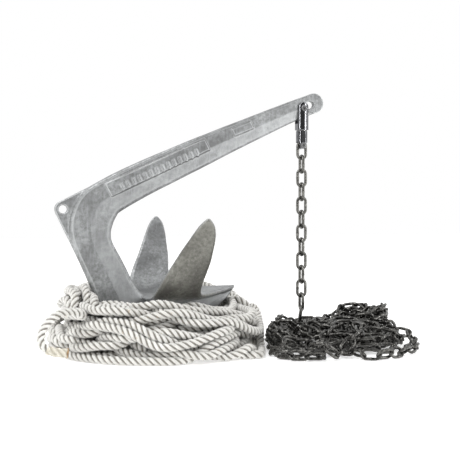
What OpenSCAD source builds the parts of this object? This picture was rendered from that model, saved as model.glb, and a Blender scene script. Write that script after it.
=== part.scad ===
// Claw anchor with its double-fork swivel, the chain that hangs from it, and the chain and rope lying round it.
// +X runs from the bend of the shank to its eye, Y = 0 is the anchor's middle plane, and Z = 0 is the ground.

/* [Shank] */
// Angle of the shank above the ground
shank_angle = 21.5; // [18:0.5:24]
// Radius of the rounded eye end
eye_r = 20.5; // [18:0.5:23]
// Thickness of the shank at its eye
eye_t = 13; // [11:0.5:14]
// Half thickness of the shank at its bend
bend_w = 11; // [9.5:0.5:13.5]
// Distance from the centre of the eye end back to the middle of its slot
slot_back = 18.3; // [16:0.1:20]
// Distance between the centres of the slot's two round ends
slot_travel = 19; // [14:0.5:22]
// Width of the slot
slot_w = 15; // [13.5:0.1:16]

/* [Tripping rib] */
// Thickness of the rib plate outside the bend
rib_t = 10; // [8:0.5:14]
// Radius of the tripping-line hole
trip_r = 8; // [6:0.5:9]
// Radius of the rib's rounded corner, round the hole
rib_r = 16; // [15:0.5:18]

/* [Pads on the shank] */
// Height of the raised pads over the shank's side at its middle
pad_h = 1.2; // [0.8:0.1:2]
// Height of the bars on the long pad
bar_h = 1; // [0.6:0.1:1.6]
// Number of bars on the long pad
bars = 14; // [8:1:18]

/* [Flukes] */
// Thickness of the fluke plate at the crown
plate_t = 11; // [9.5:0.5:14]
// How far the inner face of a fluke is dished, as a share of its width
dish = 0.03; // [0.02:0.005:0.05]
// Half width of the keel under the crown
keel_w = 18; // [15:1:22]

/* [Swivel] */
// Radius of the shank pin
pin_r = 6; // [5:0.25:6.5]
// Radius of the chain pin
chain_pin_r = 4.5; // [4:0.1:5]
// Width of both jaws along the shank
jaw_w = 24; // [22:0.5:26]
// Radius of the upper jaw's barrel
jaw_r = 14.5; // [14:0.25:16]
// Height from the joint between the jaws to the shank pin
upper_h = 45.4; // [43:0.1:50]
// Height from the chain pin to the joint between the jaws
lower_h = 32; // [30:0.5:36]
// Radius of the open throat round the shank pin
throat_r = 34; // [33:0.5:36]
// Radius of the open throat round the chain pin
chain_throat_r = 14; // [13.5:0.25:15]
// Radius of the swivel bolt
bolt_r = 5; // [4:0.25:5.5]
// Thickness of the thrust washer
washer_t = 1.5; // [1:0.1:2.5]

/* [Chain] */
// Wire diameter of a link
wire = 6; // [5:0.1:6.4]
// Inner length of a link
link_in = 29; // [27:0.5:31]
// Inner width of a link
link_gap = 12; // [11.5:0.1:13]
// Radius of the chain pile
pile_r = 195; // [170:5:210]
// Height of the chain pile
pile_h = 58; // [40:1:60]

/* [Rope] */
// Diameter of the rope
rope_d = 17; // [14:0.5:18]
// Radius of the rope heap
heap_r = 225; // [200:5:230]
// Height of the rope heap
heap_h = 104; // [85:1:106]
// Length of the sleeve on the rope's bare end
sleeve_l = 36; // [25:1:38]

/* [Hidden] */
$fn = 48;

zinc = "#a9acae";
steel = "#6d6f73";
chain_grey = "#7a7a76";
rope_white = "#e4e2da";
run = 0.05;                       // running clearance, on the radius
touch = 0.05;                     // gap where one link hangs in the next

// centre of the eye end, and the slot and shank pin that follow from it
eye_x = 280 - eye_r;
eye_z = 500;
ux = cos(shank_angle);
uz = sin(shank_angle);
slot_x = eye_x - (slot_back + slot_travel / 2) * ux;
slot_z = eye_z - (slot_back + slot_travel / 2) * uz;
pin_x = slot_x;
pin_z = slot_z - (slot_w / 2 - pin_r) + run;

// heights down the swivel and the chain
joint_z = pin_z - upper_h;
chain_pin_z = joint_z - lower_h;
lower_top_z = joint_z - washer_t - 2 * run;
arc_r = (link_gap + wire) / 2;
arc_z = (link_in - link_gap) / 2;
link_end = arc_z + arc_r;
first_z = chain_pin_z + chain_pin_r + wire / 2 + touch - link_end;
pitch = link_in - touch;

// ---- smooth rows: a curve through hand-set stations, with extra rows between them
function mix4(a, b, c, d, t) =
  0.5 * (2 * b + (c - a) * t + (2 * a - 5 * b + 4 * c - d) * t * t + (3 * b - a - 3 * c + d) * t * t * t);
function row(rows, i) = rows[max(0, min(len(rows) - 1, i))];
function smooth(rows, steps) = [
  for (i = [0 : len(rows) - 2], s = [0 : steps - 1])
    mix4(row(rows, i - 1), rows[i], rows[i + 1], row(rows, i + 2), s / steps),
  rows[len(rows) - 1]
];
function unit(v) = v / norm(v);

// ---- a closed skin over rings that all have the same number of points
module skin(rings) {
  n = len(rings[0]);
  m = len(rings);
  polyhedron(
    points = [for (r = rings, p = r) p],
    faces = concat(
      [[for (k = [0 : n - 1]) k]],
      [[for (k = [n - 1 : -1 : 0]) (m - 1) * n + k]],
      [for (i = [0 : m - 2], k = [0 : n - 1]) [i * n + k, (i + 1) * n + k, (i + 1) * n + (k + 1) % n]],
      [for (i = [0 : m - 2], k = [0 : n - 1]) [i * n + k, (i + 1) * n + (k + 1) % n, i * n + (k + 1) % n]]
    )
  );
}

// ---- the beam: shank, bend, lower arm and keel in one sweep
// Each station is the outer edge's x and z, the inner edge's x and z, and the half thickness.
neck_r = eye_r - 0.4;              // the beam's half depth where it runs into the eye end
beam = [
  [eye_x - neck_r * uz, eye_z + neck_r * ux, eye_x + neck_r * uz, eye_z - neck_r * ux, eye_t / 2 - 0.3],
  [193, 497, 209, 457, eye_t / 2 + 1],
  [88, 456, 108, 408, bend_w - 2.5],
  [-14, 415, 11, 359, bend_w - 1.5],
  [-112, 373, -85, 311, bend_w - 0.5],
  [-184, 338, -148, 276, bend_w],
  [-228, 309, -160, 264, bend_w],
  [-249, 270, -168, 246, bend_w],
  [-252, 230, -171, 230, bend_w],
  [-239, 190, -168, 213, bend_w],
  [-218, 142, -148, 175, bend_w + 1],
  [-199, 96, -128, 135, bend_w + 2],
  [-176, 50, -108, 109, bend_w + 5],
  [-140, 14, -80, 106, keel_w * 0.75],
  [-95, 0, -50, 106, keel_w],
  [-40, 14, -14, 107, keel_w * 0.9],
  [20, 55, 30, 112, keel_w * 0.6],
  [66, 96, 70, 119, keel_w * 0.3],
  [82, 116, 82, 123, keel_w * 0.1]
];
// the section: share of the depth, share of the half thickness; full at the outer edge, bevelled to the inner
section = [
  [1, 0.55], [0.93, 0.88], [0.82, 1], [0.02, 1], [-0.82, 0.66], [-0.95, 0.5], [-1, 0.25]
];
function beam_ring(s) = let (mx = (s[0] + s[2]) / 2, mz = (s[1] + s[3]) / 2, dx = (s[0] - s[2]) / 2, dz = (s[1] - s[3]) / 2)
  concat(
    [for (p = section) [mx + p[0] * dx, p[1] * s[4], mz + p[0] * dz]],
    [for (k = [len(section) - 1 : -1 : 0]) let (p = section[k]) [mx + p[0] * dx, -p[1] * s[4], mz + p[0] * dz]]
  );

// ---- the three flukes: one curved plate from the tip of one side fluke to the tip of the other
// Each station is a point on the back edge, a point on the front edge, and the thickness, for the +Y side.
fluke = [
  [-110, 0, 108, 84.5, 0, 125, plate_t],
  [-111, 25, 108, 60, 25, 122, plate_t],
  [-112, 50, 109, 34, 50, 119, plate_t],
  [-112, 75, 111, 8, 75, 117, plate_t * 0.95],
  [-112, 98, 115, -13, 98, 119, plate_t * 0.95],
  [-111, 117, 124, -21, 115, 129, plate_t * 0.9],
  [-104, 131, 141, -21, 130, 146, plate_t * 0.9],
  [-95, 142, 160, -18, 143, 163, plate_t * 0.85],
  [-83, 152, 182, -15, 158, 182, plate_t * 0.8],
  [-71, 167, 206, -14, 175, 205, plate_t * 0.75],
  [-58, 184, 230, -14, 191, 229, plate_t * 0.65],
  [-48, 196, 248, -18, 198, 248, plate_t * 0.55],
  [-39, 202, 258, -25, 202, 258, plate_t * 0.45],
  [-34, 204, 262, -29, 204, 262, plate_t * 0.3]
];
function other_side(s) = [s[0], -s[1], s[2], s[3], -s[4], s[5], s[6]];
plate = smooth(concat([for (i = [len(fluke) - 1 : -1 : 1]) other_side(fluke[i])], fluke), 3);
function back(s) = [s[0], s[1], s[2]];
function front(s) = [s[3], s[4], s[5]];
function mid(s) = (back(s) + front(s)) / 2;
across = [0, 0.08, 0.3, 0.5, 0.7, 0.92, 1];
function plate_ring(i) = let (
    s = plate[i], c = front(s) - back(s),
    t = mid(row(plate, i + 1)) - mid(row(plate, i - 1)),
    out = -unit(cross(c, t)), w = norm(c)
  ) concat(
    [for (a = across) back(s) + a * c + out * (4 * a * (1 - a) * dish * w + (a == 0 || a == 1 ? s[6] * 0.3 : 0))],
    [for (k = [len(across) - 1 : -1 : 0]) let (a = across[k])
      back(s) + a * c + out * (s[6] * (a == 0 || a == 1 ? 0.7 : 1) + 4 * a * (1 - a) * dish * 1.5 * w)]
  );

// ---- pads on both sides of the shank, as corner points in the middle plane
long_pad = [[-183.5, 327], [-170.5, 303], [29.5, 398], [18.5, 419]];
short_pad = [[76.5, 440], [82.5, 427], [123.5, 444], [116.5, 457]];
pad_turn = 0.45;                  // the sides of the shank close in by this angle
module on_both_sides() {
  children();
  mirror([0, 1, 0]) children();
}
module side_plate(points, y_out) {
  translate([0, -y_out + 4, 0]) rotate([90, 0, 0]) linear_extrude(4) polygon(points);
}
module pads() {
  bar_from = [-150, 322];
  bar_to = [2, 391];
  on_both_sides() rotate([0, 0, pad_turn]) {
    side_plate(long_pad, bend_w - 0.4 + pad_h);
    side_plate(short_pad, bend_w - 0.4 + pad_h);
    for (i = [0 : bars - 1]) {
      p = bar_from + (bar_to - bar_from) * i / (bars - 1);
      translate([p[0], -(bend_w - 0.4 + pad_h + bar_h), p[1]]) rotate([0, -shank_angle - 3, 0])
        translate([-2, 0, -7]) cube([4, 3, 14]);
    }
  }
}

trip_x = -280 + rib_r;
trip_z = 278;
module rib_plate() {
  rotate([90, 0, 0]) translate([0, 0, -rib_t / 2]) linear_extrude(rib_t) hull() {
    translate([trip_x, trip_z]) circle(rib_r);
    polygon([[-200, 328], [-190, 250], [-217, 142]]);
  }
}

module slot_cut() {
  rotate([90, 0, 0]) translate([0, 0, -20]) {
    translate([slot_x, slot_z, 0]) cylinder(r = slot_w / 2, h = 40);
    translate([slot_x + slot_travel * ux, slot_z + slot_travel * uz, 0]) cylinder(r = slot_w / 2, h = 40);
    translate([slot_x, slot_z, 0]) rotate([0, 0, shank_angle]) translate([0, -slot_w / 2, 0]) cube([slot_travel, slot_w, 40]);
  }
}

module anchor_casting() {
  color(zinc) difference() {
    // a resize to no new size keeps every shape and joins them into one skin
    resize([0, 0, 0]) difference() {
      union() {
        skin([for (s = smooth(beam, 5)) beam_ring(s)]);
        skin([for (i = [0 : len(plate) - 1]) plate_ring(i)]);
        translate([eye_x, eye_t / 2, eye_z]) rotate([90, 0, 0]) cylinder(r = eye_r, h = eye_t, $fn = 64);
        rib_plate();
        pads();
      }
      slot_cut();
    }
    translate([trip_x, 20, trip_z]) rotate([90, 0, 0]) cylinder(r = trip_r, h = 40);
  }
}

// ---- the swivel. A cylinder or a bore that lies along Y, centred on the middle plane
module along_y(x, z, r, h) {
  translate([x, h / 2, z]) rotate([90, 0, 0]) cylinder(r = r, h = h);
}
module hex_socket(af, depth) {
  cylinder(r = af / 2 / cos(30), h = depth, $fn = 6);
}
grub_r = 2;
upper_ear = jaw_r - 0.5;          // the shank pin's half length
lower_r = jaw_w / 2;
lower_ear = 10.5;
lower_gap = wire + 2;
head_r = chain_pin_r + 1.2;
head_seat = 6;                    // how far the bolt's head is sunk under the throat
head_t = 5;

module shank_pin() {
  color(steel) difference() {
    along_y(pin_x, pin_z, pin_r, 2 * upper_ear - 1);
    translate([pin_x, -upper_ear, pin_z]) rotate([-90, 0, 0]) hex_socket(6, 4);
  }
}

module upper_jaw() {
  color(steel) difference() {
    intersection() {
      translate([pin_x, 0, joint_z]) cylinder(r = jaw_r, h = upper_h + jaw_w / 2);
      union() {
        along_y(pin_x, pin_z, jaw_w / 2, 4 * jaw_r);
        translate([pin_x - jaw_w / 2, -2 * jaw_r, joint_z]) cube([jaw_w, 4 * jaw_r, upper_h]);
      }
    }
    intersection() {
      along_y(pin_x, pin_z, throat_r, eye_t + 2);
      translate([pin_x - 40, -eye_t / 2 - 1, joint_z]) cube([80, eye_t + 2, 80]);
    }
    along_y(pin_x, pin_z, pin_r + run, 4 * jaw_r);
    translate([pin_x, 0, joint_z - 1]) cylinder(r = bolt_r + run, h = 30);
    translate([pin_x, 0, pin_z - throat_r - head_seat]) cylinder(r = bolt_r + 3, h = 20);
    grub_hole(pin_z, pin_r, eye_t / 2 + 1 + (upper_ear - eye_t / 2 - 1) / 2);
  }
}
// a threaded hole from the jaw's side into its pin's bore, and the screw in it
module grub_hole(z, r, y) {
  translate([pin_x + r - 0.5, y, z]) rotate([0, 90, 0]) cylinder(r = grub_r + run, h = 20);
}
module grub_screw(z, r, y, l) {
  color(steel) difference() {
    translate([pin_x + r + 2 * run, y, z]) rotate([0, 90, 0]) cylinder(r = grub_r, h = l);
    translate([pin_x + r + 2 * run + l - 1.5, y, z]) rotate([0, 90, 0]) hex_socket(2, 3);
  }
}
module upper_grub_screw() {
  grub_screw(pin_z, pin_r, eye_t / 2 + 1 + (upper_ear - eye_t / 2 - 1) / 2, 3.5);
}

module thrust_washer() {
  color(steel) difference() {
    translate([pin_x, 0, joint_z - washer_t]) cylinder(r = lower_r - 1, h = washer_t);
    translate([pin_x, 0, joint_z - washer_t - 1]) cylinder(r = bolt_r + run, h = washer_t + 2);
  }
}

bolt_top = pin_z - throat_r - head_seat + head_t + run;
bolt_end = lower_top_z - 12;
module swivel_bolt() {
  color(steel) difference() {
    union() {
      translate([pin_x, 0, bolt_top - head_t]) cylinder(r = bolt_r + 2.8, h = head_t);
      translate([pin_x, 0, bolt_end]) cylinder(r = bolt_r, h = bolt_top - bolt_end - 1);
    }
    translate([pin_x, 0, bolt_top - 3]) hex_socket(5, 4);
  }
}

module lower_jaw() {
  color(steel) difference() {
    intersection() {
      translate([pin_x, 0, chain_pin_z - 10]) cylinder(r = lower_r, h = lower_top_z - chain_pin_z + 10);
      union() {
        along_y(pin_x, chain_pin_z, 7, 3 * lower_r);
        translate([pin_x - 7, -lower_r, chain_pin_z]) cube([14, 2 * lower_r, 6]);
        translate([pin_x - 2 * lower_r, -lower_r, chain_pin_z + 6]) cube([4 * lower_r, 2 * lower_r, 40]);
      }
      translate([pin_x - 2 * lower_r, -lower_ear - 0.5, chain_pin_z - 10]) cube([4 * lower_r, 2 * lower_ear + 1, 60]);
    }
    intersection() {
      along_y(pin_x, chain_pin_z, chain_throat_r, lower_gap);
      translate([pin_x - 40, -lower_gap / 2, chain_pin_z - 20]) cube([80, lower_gap, 60]);
    }
    along_y(pin_x, chain_pin_z, chain_pin_r + run, 4 * lower_r);
    translate([pin_x, -lower_ear + 3, chain_pin_z]) rotate([90, 0, 0]) cylinder(r = head_r + run, h = 10);
    translate([pin_x, 0, bolt_end - 0.5]) cylinder(r = bolt_r + run, h = 30);
    grub_hole(chain_pin_z, chain_pin_r, lower_gap / 2 + 3.2);
  }
}
module chain_pin() {
  color(steel) difference() {
    union() {
      along_y(pin_x, chain_pin_z, chain_pin_r, 2 * lower_ear);
      translate([pin_x, -lower_ear + 3 - run, chain_pin_z]) rotate([90, 0, 0]) cylinder(r = head_r, h = 3 - run);
    }
    translate([pin_x, -lower_ear - 1, chain_pin_z]) rotate([-90, 0, 0]) hex_socket(5, 4);
  }
}
module lower_grub_screw() {
  grub_screw(chain_pin_z, chain_pin_r, lower_gap / 2 + 3.2, 2);
}

// ---- chain. A link stands upright; odd links face -Y and even links face +X
module half_link() {
  translate([0, 0, arc_z]) rotate([90, 0, 0]) rotate_extrude(angle = 180) translate([arc_r, 0]) circle(d = wire);
  translate([arc_r, 0, -0.01]) cylinder(d = wire, h = arc_z + 0.01);
  translate([-arc_r, 0, -0.01]) cylinder(d = wire, h = arc_z + 0.01);
}
module chain_link(k) {
  color(chain_grey) translate([pin_x, 0, first_z - (k - 1) * pitch]) rotate([0, 0, k % 2 == 1 ? 0 : 90]) {
    half_link();
    mirror([0, 0, 1]) half_link();
  }
}

// ---- loose chain and rope. An upright plane parts the rope heap from the chain pile
part_x = 140;
part_y = -21;
part_turn = -18;
module beyond(side) {
  translate([part_x, part_y, -10]) rotate([0, 0, part_turn]) translate([side > 0 ? 1 : -1001, -500, 0]) cube([1000, 1000, 400]);
}
pile_x = 245;
pile_y = -90;
top_x = 362;
top_y = -38;
top_r = 42;
top_h = 22;
// a dip in the pile keeps clear of the last hanging link wherever it ends
dip_r = 50;
dip_gap = 4;
dip_z = first_z - 11 * pitch - link_end - dip_gap;
module mound(r, h, edge) {
  rotate_extrude() union() {
    square([r - edge, h]);
    square([r, h - edge]);
    translate([r - edge, h - edge]) circle(edge);
  }
}
module chain_pile() {
  color(chain_grey) difference() {
    intersection() {
      translate([pile_x, pile_y, 0]) mound(pile_r, pile_h, 25);
      beyond(1);
    }
    translate([pin_x, 0, dip_z]) cylinder(r = dip_r, h = 2 * pile_h);
  }
}
module chain_pile_top() {
  color(chain_grey) translate([top_x, top_y, pile_h]) mound(top_r, top_h, 6);
}

heap_x = -70;
heap_y = 10;
// the lobe that runs out to the right at the front of the heap
lobe_x = 42;
lobe_y = -176;
lobe_r = 62;
lobe_h = 56;
crown_r = 118;
// room left round the casting, as [corner, size] of each block taken from the heap
heap_room = [
  [[-10, -90, 45], [200, 180, 100]],
  [[-125, 60, 85], [115, 110, 100]],
  [[-125, -150, 85], [115, 110, 100]],
  [[-212, -22, 55], [100, 44, 60]]
];
module heap_ring(r_in, r_out, z0, z1, edge) {
  rotate_extrude() difference() {
    union() {
      translate([r_in, z0]) square([r_out - r_in - edge, z1 - z0]);
      translate([r_in, z0]) square([r_out - r_in, z1 - z0 - edge]);
      translate([r_out - edge, z1 - edge]) circle(edge);
    }
    translate([r_in - 1, z1]) rotate([0, 0, -25]) square([80, 60]);
  }
}
module rope_heap() {
  color(rope_white) difference() {
    intersection() {
      union() {
        translate([heap_x, heap_y, 0]) heap_ring(crown_r, heap_r, 0, heap_h, 32);
        translate([lobe_x, lobe_y, 0]) mound(lobe_r, lobe_h, 16);
      }
      beyond(-1);
    }
    for (room = heap_room) translate(room[0]) cube(room[1]);
  }
}
// the upper coils: an arc round the left of the heap
upper_in = 172;
upper_out = 191;
upper_h_rope = 34;
upper_from = 45;
upper_sweep = 160;
module rope_heap_upper() {
  color(rope_white) translate([heap_x, heap_y, heap_h]) rotate([0, 0, upper_from])
    rotate_extrude(angle = upper_sweep) translate([upper_in, 0]) square([upper_out - upper_in, upper_h_rope]);
}

// the rope's loose end: its route from the cut end up over the heap
tail_route = [
  [-281, -190, 30], [-300, -189, 32], [-319, -186, 36], [-326, -176, 48], [-322, -164, 66],
  [-306, -150, 84], [-280, -136, 98], [-250, -122, 96]
];
tail_steps = 3;
tail_sides = 12;
tail = smooth(tail_route, tail_steps);
function tail_ring(i) = let (
    t = unit(row(tail, i + 1) - row(tail, i - 1)), a = unit(cross(t, [0, 0, 1])), b = cross(a, t)
  ) [for (k = [0 : tail_sides - 1]) tail[i] + rope_d / 2 * (a * cos(360 * k / tail_sides) - b * sin(360 * k / tail_sides))];
module rope_tail() {
  color(rope_white) skin([for (i = [0 : len(tail) - 1]) tail_ring(i)]);
}
module rope_end_sleeve() {
  way = tail_route[1] - tail_route[0];
  turn = atan2(way[1], way[0]);
  lean = acos(way[2] / norm(way));
  color("#cfc8b4") translate(tail_route[0]) rotate([0, lean, turn]) difference() {
    cylinder(d = rope_d + 2, h = sleeve_l);
    translate([0, 0, -1]) cylinder(d = rope_d + 1, h = sleeve_l + 2);
  }
}

anchor_casting();
shank_pin();
upper_jaw();
upper_grub_screw();
thrust_washer();
swivel_bolt();
lower_jaw();
chain_pin();
lower_grub_screw();
for (k = [1 : 12]) chain_link(k);
chain_pile();
chain_pile_top();
rope_heap();
rope_heap_upper();
rope_tail();
rope_end_sleeve();
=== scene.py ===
import math

import bmesh
import bpy
import numpy as np
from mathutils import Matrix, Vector, noise
from mathutils.bvhtree import BVHTree


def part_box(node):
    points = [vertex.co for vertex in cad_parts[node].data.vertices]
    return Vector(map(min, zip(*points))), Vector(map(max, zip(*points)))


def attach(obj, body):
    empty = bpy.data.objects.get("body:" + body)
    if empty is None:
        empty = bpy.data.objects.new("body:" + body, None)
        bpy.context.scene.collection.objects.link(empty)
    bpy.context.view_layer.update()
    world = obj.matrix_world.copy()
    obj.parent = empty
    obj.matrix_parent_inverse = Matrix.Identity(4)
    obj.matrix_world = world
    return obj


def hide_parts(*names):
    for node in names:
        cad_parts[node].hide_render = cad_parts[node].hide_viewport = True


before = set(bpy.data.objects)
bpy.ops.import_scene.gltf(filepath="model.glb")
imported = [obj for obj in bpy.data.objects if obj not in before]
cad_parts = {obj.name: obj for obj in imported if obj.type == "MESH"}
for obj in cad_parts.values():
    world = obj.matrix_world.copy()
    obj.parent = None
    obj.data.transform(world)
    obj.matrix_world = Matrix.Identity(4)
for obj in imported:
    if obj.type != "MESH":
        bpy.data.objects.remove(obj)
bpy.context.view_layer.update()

# ---- The ground and the light
# A plain pale floor, one large soft lamp high on the left, a fainter one low on the right, two
# narrow strips that draw thin lines on polished steel, and a white room that is darker on one side.


def paint(hex_code):
    """The linear colour, with alpha 1, of an sRGB hex colour."""
    channels = [int(hex_code[i:i + 2], 16) / 255 for i in (1, 3, 5)]
    linear = [c / 12.92 if c <= 0.04045 else ((c + 0.055) / 1.055) ** 2.4 for c in channels]
    return tuple(linear) + (1.0,)


def node(tree, kind, inputs=None, **settings):
    """Adds one node. settings are its own properties, and inputs maps a socket to a value or to
    another node's output."""
    made = tree.nodes.new(kind)
    for name, value in settings.items():
        setattr(made, name, value)
    for socket, value in (inputs or {}).items():
        if isinstance(value, bpy.types.NodeSocket):
            tree.links.new(value, made.inputs[socket])
        else:
            made.inputs[socket].default_value = value
    return made


def material(name, colour, metallic, roughness):
    """A new material with its shader's plain values, as (material, its tree, its shader)."""
    made = bpy.data.materials.new(name)
    made.use_nodes = True
    shader = made.node_tree.nodes["Principled BSDF"]
    shader.inputs["Base Color"].default_value = paint(colour)
    shader.inputs["Metallic"].default_value = metallic
    shader.inputs["Roughness"].default_value = roughness
    return made, made.node_tree, shader


FLOOR_SIZE = 12.0
floor_mesh = bpy.data.meshes.new("floor")
half = FLOOR_SIZE / 2
floor_corners = [(-half, -half, 0), (half, -half, 0), (half, half, 0), (-half, half, 0)]
floor_mesh.from_pydata(floor_corners, [], [(0, 1, 2, 3)])
floor = bpy.data.objects.new("floor", floor_mesh)
bpy.context.scene.collection.objects.link(floor)
# White paper on a table that is lit a little from below, so it melts into the room behind
floor_paper, tree, shader = material("matt_white_paper_roll", "#f6f6f5", 0, 0.9)
shader.inputs["Emission Color"].default_value = paint("#ffffff")
shader.inputs["Emission Strength"].default_value = 0.5
floor_mesh.materials.append(floor_paper)

# The room is white to look at, and its walls give less light than they seem to
DARK_SIDE = (-0.30, -0.93, 0.2)
LIGHT_SIDE_STRENGTH = 0.95
DARK_SIDE_STRENGTH = 0.12
world = bpy.data.worlds.new("white_room")
world.use_nodes = True
room = world.node_tree
# the side that the camera stands on is unlit, so polished and dull metal alike mirror some dark
look = node(room, "ShaderNodeTexCoord").outputs["Generated"]
facing = node(room, "ShaderNodeVectorMath", {0: look, 1: DARK_SIDE}, operation="DOT_PRODUCT")
lit = node(room, "ShaderNodeMapRange", {
    "Value": facing.outputs["Value"], "From Min": 0.1, "From Max": 0.85,
    "To Min": LIGHT_SIDE_STRENGTH, "To Max": DARK_SIDE_STRENGTH,
})
walls = node(room, "ShaderNodeBackground", {"Color": paint("#fefefe"), "Strength": lit.outputs["Result"]})
backdrop = node(room, "ShaderNodeBackground", {"Color": paint("#ffffff"), "Strength": 1.0})
seen = node(room, "ShaderNodeLightPath").outputs["Is Camera Ray"]
either = node(room, "ShaderNodeMixShader", {0: seen, 1: walls.outputs[0], 2: backdrop.outputs[0]})
room.links.new(either.outputs[0], room.nodes["World Output"].inputs["Surface"])
bpy.context.scene.world = world


def softbox(name, place, target, wide, high, power):
    """A rectangular area lamp that faces target."""
    lamp = bpy.data.lights.new(name, "AREA")
    lamp.shape = "RECTANGLE"
    lamp.size = wide
    lamp.size_y = high
    lamp.energy = power
    made = bpy.data.objects.new(name, lamp)
    made.location = place
    made.rotation_euler = (Vector(target) - Vector(place)).to_track_quat("-Z", "Y").to_euler()
    bpy.context.scene.collection.objects.link(made)


softbox("key_softbox", (-0.9, -0.6, 1.9), (0, 0, 0.15), 1.2, 1.2, 27)
softbox("fill_softbox", (1.6, -1.4, 0.8), (0.1, 0, 0.15), 1.0, 1.0, 7)
softbox("left_strip", (-1.1, -1.0, 0.6), (0.2, 0, 0.4), 0.07, 1.4, 8)
softbox("right_strip", (1.3, -1.0, 0.6), (0.2, 0, 0.4), 0.07, 1.4, 8)
bpy.context.scene.view_settings.view_transform = "Standard"

# ---- The camera
# It stands to the left of the anchor and a little below its eye, about 1.8 m off.
CAMERA_AT = Vector((-0.4806, -1.7113, 0.2838))
LOOKS_AT = Vector((0.0754, 0.0, 0.2351))
SENSOR_MM = 36
LENS_MM = 68.7
eye = bpy.data.cameras.new("camera")
eye.sensor_width = SENSOR_MM
eye.lens = LENS_MM
camera = bpy.data.objects.new("camera", eye)
camera.location = CAMERA_AT
camera.rotation_euler = (LOOKS_AT - CAMERA_AT).to_track_quat("-Z", "Y").to_euler()
bpy.context.scene.collection.objects.link(camera)
bpy.context.scene.camera = camera

# ---- How loose chain and rope lie
# Both are laid out in turns and then sink under their own weight, keeping their length, until
# they rest on the ground, on themselves and against the anchor.
ANCHOR_REACH = 0.03               # how far from the anchor a point still feels it
PUSH_FACTOR = 1.2                 # a little more than the way out, so that they part sooner
SEARCH_EVERY = 8                  # rounds between two searches for near pairs
SEARCH_REACH = 1.5                # how far such a search looks, in gaps
NEXT_LINK = 1.2                   # joints and middles of links nearer than this along it don't push
NEXT_STRETCH = 1.8                # the same for a rope, in gaps along it
SWEEPS = 6                        # corrections of the cord's length in each round
CURVE_STEPS = 12                  # points that a smooth curve has between two given ones


def welded(cad_node):
    """A CAD node's shape as one closed bmesh, its split corners joined."""
    shape = bmesh.new()
    shape.from_mesh(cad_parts[cad_node].data)
    bmesh.ops.remove_doubles(shape, verts=shape.verts, dist=1e-6)
    return shape


anchor_shape = welded("anchor_casting")
anchor_skin = BVHTree.FromBMesh(anchor_shape)
anchor_shape.free()


def spread_out(beads, pairs, gap):
    """How far each bead moves so that no pair is nearer than gap, shared half and half."""
    a, b = pairs
    apart = beads[b] - beads[a]
    distance = np.maximum(np.linalg.norm(apart, axis=1), 1e-6)
    push = apart * (np.maximum(gap - distance, 0) / distance * 0.5)[:, None]
    count = len(beads)
    moves = np.zeros_like(beads)
    for axis in range(3):
        moves[:, axis] = np.bincount(b, push[:, axis], count) - np.bincount(a, push[:, axis], count)
    pushed = push.any(axis=1)
    touched = np.bincount(b, pushed, count) + np.bincount(a, pushed, count)
    return moves / np.maximum(touched, 1)[:, None] * PUSH_FACTOR


def near_pairs(beads, reach, skip):
    """Pairs of beads nearer than reach that aren't neighbours on the same cord."""
    square = (beads ** 2).sum(1)
    gaps = square[:, None] + square[None, :] - 2 * beads @ beads.T
    a, b = np.nonzero(np.triu(gaps < reach * reach, skip))
    return a, b


def near_anchor(points, clear):
    """Each point that is inside the anchor or too near it, with where it goes."""
    found = []
    for index, point in enumerate(points):
        place, normal, face, distance = anchor_skin.find_nearest(Vector(point), ANCHOR_REACH)
        if place is None:
            continue
        outside = (Vector(point) - place).dot(normal) > 0
        if not outside or distance < clear:
            found.append((index, place + normal * clear))
    return found


def settle(points, step, gap, low, inside, fixed, rounds, drop, bend, bent_over, clear):
    """Lets a cord of points sink and come to rest. step is the distance between points, gap is how
    near two stretches come, low is the least height, inside keeps points in their heap, fixed maps
    a point's number to its place, drop is how far it sinks in a round, bend is its stiffness,
    bent_over is True for a chain, whose links also push at their middles, and clear is how near
    the cord comes to the anchor."""
    points = points.copy()
    count = len(points)
    for turn in range(rounds):
        points[:, 2] -= drop
        beads = np.concatenate([points, (points[1:] + points[:-1]) / 2]) if bent_over else points
        if turn % SEARCH_EVERY == 0:
            if bent_over:
                order = np.concatenate([np.arange(count), np.arange(count - 1) + 0.5])
                a, b = near_pairs(beads, gap * SEARCH_REACH, 1)
                keep = np.abs(order[a] - order[b]) > NEXT_LINK
                pairs = a[keep], b[keep]
            else:
                pairs = near_pairs(beads, gap * SEARCH_REACH, int(gap / step * NEXT_STRETCH) + 1)
        moves = spread_out(beads, pairs, gap)
        points += moves[:count]
        if bent_over:
            points[1:] += moves[count:]
            points[:-1] += moves[count:]
        middle = (points[:-2] + points[2:]) / 2
        points[1:-1] += (middle - points[1:-1]) * bend
        for index, place in near_anchor(points, clear):
            points[index] = place
        points[:, 2] = np.maximum(points[:, 2], low)
        inside(points)
        for sweep in range(SWEEPS):
            for first in (0, 1):
                a, b = points[first:-1:2], points[first + 1::2]
                a, b = a[:len(b)], b[:len(a)]
                along = b - a
                length = np.maximum(np.linalg.norm(along, axis=1, keepdims=True), 1e-9)
                shift = along * (0.5 * (length - step) / length)
                points[first:first + 2 * len(a):2] += shift
                points[first + 1:first + 1 + 2 * len(b):2] -= shift
            for index, place in fixed.items():
                points[index] = place
    return points


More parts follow.
